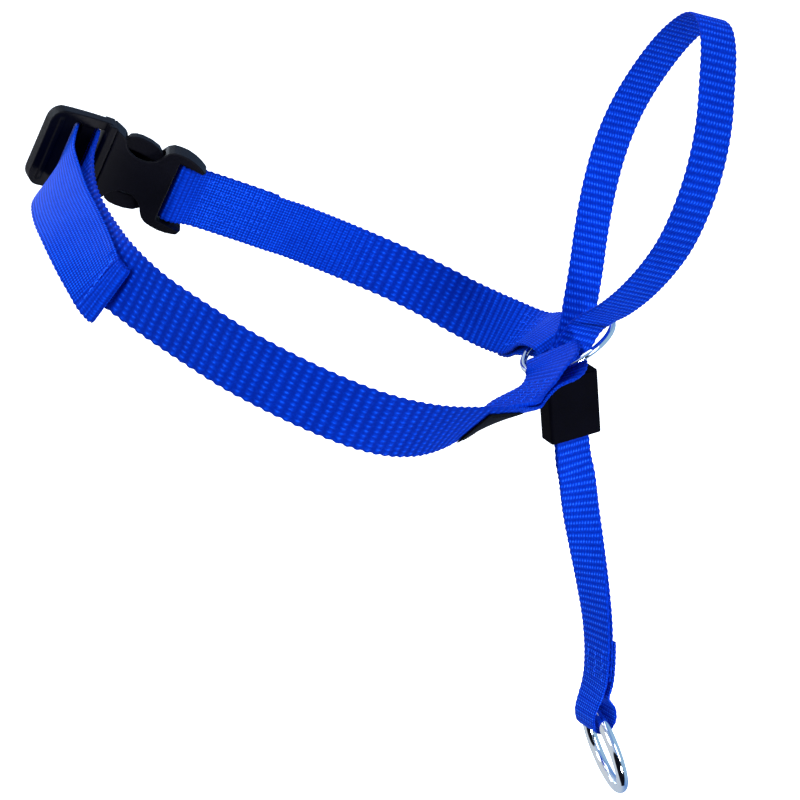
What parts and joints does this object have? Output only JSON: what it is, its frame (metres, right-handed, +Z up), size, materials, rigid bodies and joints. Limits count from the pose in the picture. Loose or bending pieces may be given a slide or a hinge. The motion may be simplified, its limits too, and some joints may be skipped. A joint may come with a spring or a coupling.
{
  "type": "dog head halter",
  "caption": "Dog head halter: a neck loop with a side-release buckle, a nose loop run through a chrome ring, a clamp on its drop strap and a leash ring at the end.",
  "frame": {"origin": "middle of the neck opening, in the plane of the neck loop", "axes": "+Z up, along the drop strap from the leash ring to the nose loop; +X from the buckle to the centre ring; +Y across the neck opening; the neck loop leans 30 degrees about Y"},
  "size_m": [0.223, 0.1358, 0.2761],
  "materials": {
    "neck_webbing": "ribbed nylon webbing, deep royal blue",
    "nose_webbing": "finer ribbed nylon webbing, deep royal blue",
    "stitching": "lighter blue polyester thread",
    "label_cloth": "plain black woven label",
    "buckle_plastic": "satin black acetal, fine moulded grain",
    "clamp_plastic": "matte black with fine grain",
    "ring_metal": "polished chrome-plated steel wire",
    "pin_metal": "plain steel"
  },
  "bodies": {
    "collar": {"long_neck_strap": "neck_webbing", "short_neck_strap": "neck_webbing", "buckle_socket": "buckle_plastic", "label_patch": "label_cloth", "socket_stitching": "stitching", "short_ring_stitching": "stitching", "long_ring_stitching": "stitching", "tail_hem_stitching": "stitching", "label_stitching": "stitching"},
    "plug": {"buckle_plug": "buckle_plastic"},
    "arm_upper": {"plug_arm_upper": "buckle_plastic"},
    "arm_lower": {"plug_arm_lower": "buckle_plastic"},
    "ring": {"centre_ring": "ring_metal"},
    "nose_loop": {"nose_loop_strap": "nose_webbing"},
    "drop": {"drop_strap_front": "nose_webbing", "drop_strap_back": "nose_webbing", "drop_end_stitching": "stitching"},
    "clamp": {"clamp_sleeve": "clamp_plastic", "clamp_pin": "pin_metal"},
    "lever": {"clamp_lever": "clamp_plastic"},
    "lead_ring": {"leash_ring": "ring_metal"}
  },
  "joints": [
    {"name": "buckle_release", "type": "hinge", "parent": "collar", "child": "plug", "pos_m": [-0.05023, -0.0085, 0.029], "axis": [0.5, 0, 0.866], "range_deg": [0, 24], "deforming": ["long_neck_strap", "plug_arm_upper", "plug_arm_lower", "tail_hem_stitching"]},
    {"name": "arm_upper_press", "type": "hinge", "parent": "plug", "child": "arm_upper", "pos_m": [-0.0579, 0.04998, 0.04255], "axis": [-0.1936, 0.9747, 0.1118], "range_deg": [0, 8], "stiffness_Nm_per_rad": 0.2},
    {"name": "arm_lower_press", "type": "hinge", "parent": "plug", "child": "arm_lower", "pos_m": [-0.0658, 0.04998, 0.02887], "axis": [0.1936, -0.9747, -0.1118], "range_deg": [0, 8], "stiffness_Nm_per_rad": 0.2},
    {"name": "centre_ring_spin", "type": "hinge", "parent": "collar", "child": "ring", "pos_m": [0.08321, 0.013, -0.02887], "axis": [-0.3799, 0, 0.925], "continuous": true},
    {"name": "nose_loop_tilt", "type": "hinge", "parent": "collar", "child": "nose_loop", "pos_m": [0.0868, 0.014, -0.0247], "axis": [0.9161, 0.401, 0], "range_deg": [-14, 14], "stiffness_Nm_per_rad": 0.05, "deforming": ["nose_loop_strap"]},
    {"name": "drop_strap_swing", "type": "hinge", "parent": "nose_loop", "child": "drop", "pos_m": [0.0825, 0.0121, -0.0376], "axis": [0.9161, 0.401, 0], "range_deg": [-15, 15], "deforming": ["drop_strap_front", "drop_strap_back"]},
    {"name": "clamp_slide", "type": "slide", "parent": "drop", "child": "clamp", "axis": [0, 0, -1], "range_m": [0, 0.008], "deforming": ["drop_strap_front", "drop_strap_back"]},
    {"name": "clamp_lever_open", "type": "hinge", "parent": "clamp", "child": "lever", "pos_m": [0.08114, 0.01522, -0.0426], "axis": [0.9164, 0.4003, 0], "range_deg": [0, 65]},
    {"name": "leash_ring_swing", "type": "hinge", "parent": "drop", "child": "lead_ring", "pos_m": [0.0848, 0.012, -0.167], "axis": [0.2588, -0.9659, 0], "range_deg": [-42, 42]}
  ]
}
